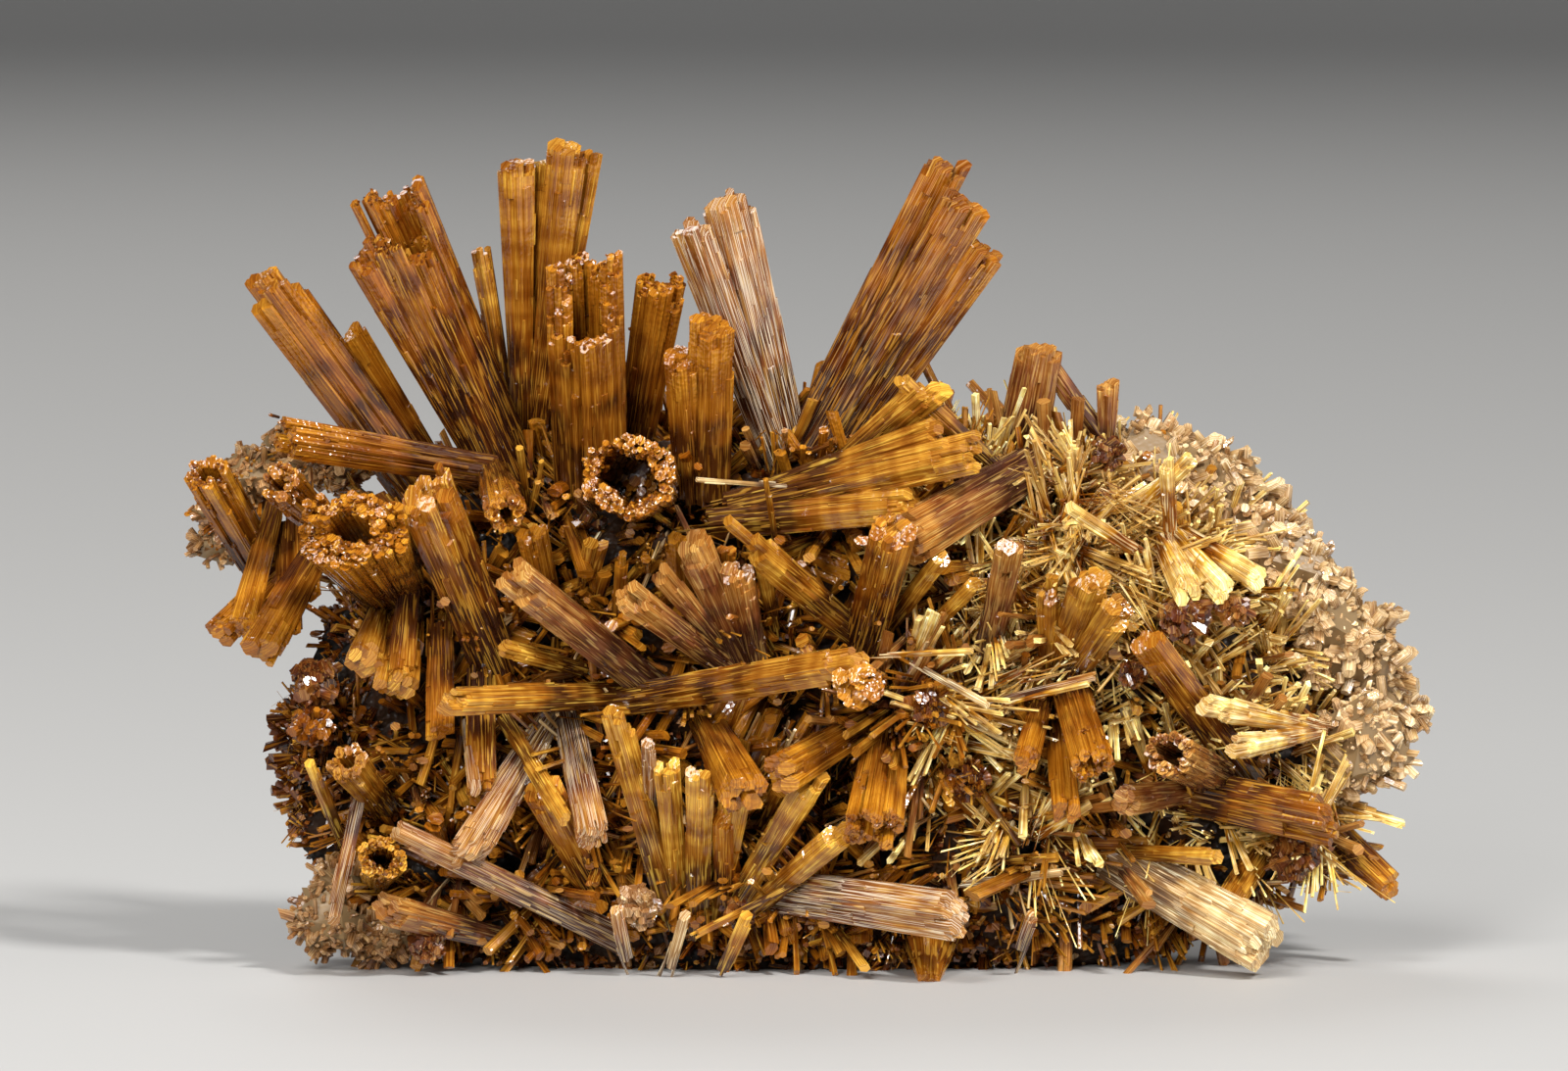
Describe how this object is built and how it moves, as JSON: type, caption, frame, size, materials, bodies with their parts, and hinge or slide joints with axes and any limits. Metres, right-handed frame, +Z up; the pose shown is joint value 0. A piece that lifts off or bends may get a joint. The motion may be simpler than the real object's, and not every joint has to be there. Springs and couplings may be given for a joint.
{
  "type": "vanadinite crystal specimen",
  "caption": "Dark slab of vein rock bristling with sheaves of amber-brown vanadinite prisms, some hollow, with yellow needles and a tan crust along one edge; stands on its flat foot.",
  "frame": {"origin": "middle of the flat broken foot of the rock slab", "axes": "+X along the specimen to the viewer's right, -Y towards the viewer of the show side, +Z up"},
  "size_m": [0.0637, 0.0286, 0.0419],
  "materials": {
    "rock": "rough broken rock",
    "honey": "resinous, ribbed",
    "chestnut": "resinous, ribbed",
    "golden": "resinous, ribbed",
    "rosy": "silky, ribbed",
    "cream": "silky, ribbed",
    "druse": "sparkling crust",
    "straw": "silky needles"
  },
  "bodies": {
    "root": {"vein_rock": "rock", "great_left_sheaf": "chestnut", "tall_back_sheaf": "golden", "silver_sheaf": "rosy", "great_right_sheaf": "chestnut", "central_hollow_sheath": "honey", "left_leaning_prisms": "honey", "dark_mouthed_tube": "honey", "round_open_tube": "honey", "middle_upright_prism": "honey", "golden_spur": "golden", "peak_blades": "rosy", "golden_sheaf": "golden", "bent_prism_lower": "chestnut", "bent_prism_upper": "rosy", "right_diagonal_sheaf": "golden", "level_prisms": "golden", "long_diagonal_prism": "rosy", "centre_fan": "rosy", "orange_knob": "honey", "hanging_prism_left": "honey", "hanging_prism_middle": "honey", "hanging_prism_right": "honey", "ragged_hollow": "honey", "dark_front_sheaf": "chestnut", "left_edge_tube": "honey", "left_level_prisms": "honey", "left_cross_prism": "honey", "left_hanging_prisms": "honey", "left_under_prisms": "golden", "lower_left_tube_high": "golden", "lower_left_tube_low": "golden", "hanging_slabs": "rosy", "foot_fan": "golden", "dark_slanted_prism": "chestnut", "long_low_prism": "rosy", "silver_log": "rosy", "front_tooth": "chestnut", "low_pink_prism": "rosy", "banded_right_prism": "rosy", "golden_block_fan": "golden", "hanging_trio": "honey", "white_rimmed_tube": "rosy", "right_brown_diagonal": "chestnut", "frayed_sheaf": "chestnut", "straw_fan": "straw", "right_needle_spray": "straw", "slanted_banded_prism": "golden", "cream_foot_prism": "cream", "rust_spur": "chestnut", "back_left_sheaf": "chestnut", "back_middle_tube": "honey", "back_right_sheaf": "honey", "back_low_prism": "rosy", "right_edge_druse": "druse", "left_edge_druse": "druse", "lower_left_druse": "druse", "back_druse": "druse", "needle_felt": "straw"}
  },
  "joints": []
}
